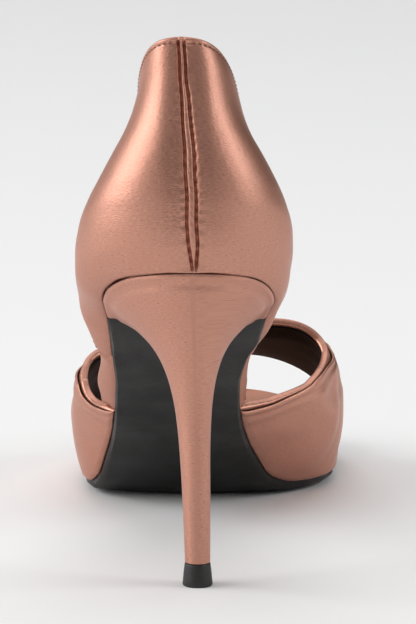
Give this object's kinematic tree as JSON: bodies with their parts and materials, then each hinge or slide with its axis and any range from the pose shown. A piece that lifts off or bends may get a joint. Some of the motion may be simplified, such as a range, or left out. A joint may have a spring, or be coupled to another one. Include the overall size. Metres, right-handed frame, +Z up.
{
  "type": "peep toe pump",
  "caption": "Open-sided evening shoe for the left foot, with a closed heel cup, a crossed toe band open at the toes, and a covered stiletto heel.",
  "frame": {"origin": "centre of the heel tip's underside, on the floor", "axes": "+Y from the heel to the toe, +X to the inner (medial) side of the left foot, +Z up"},
  "size_m": [0.0875, 0.2303, 0.1674],
  "materials": {
    "satin_heel": "satin",
    "satin_quarter": "satin",
    "satin_under_band": "satin",
    "satin_over_band": "satin",
    "satin_insole": "satin",
    "copper_sock": "smooth, slightly metallic",
    "black_outsole": "smooth, semi-matte",
    "black_rubber": "matte"
  },
  "bodies": {
    "root": {"top_piece": "black_rubber", "heel": "satin_heel", "outsole": "black_outsole", "insole": "satin_insole", "sock_lining": "copper_sock", "upper_quarter": "satin_quarter", "upper_under_band": "satin_under_band", "upper_over_band": "satin_over_band"}
  },
  "joints": []
}
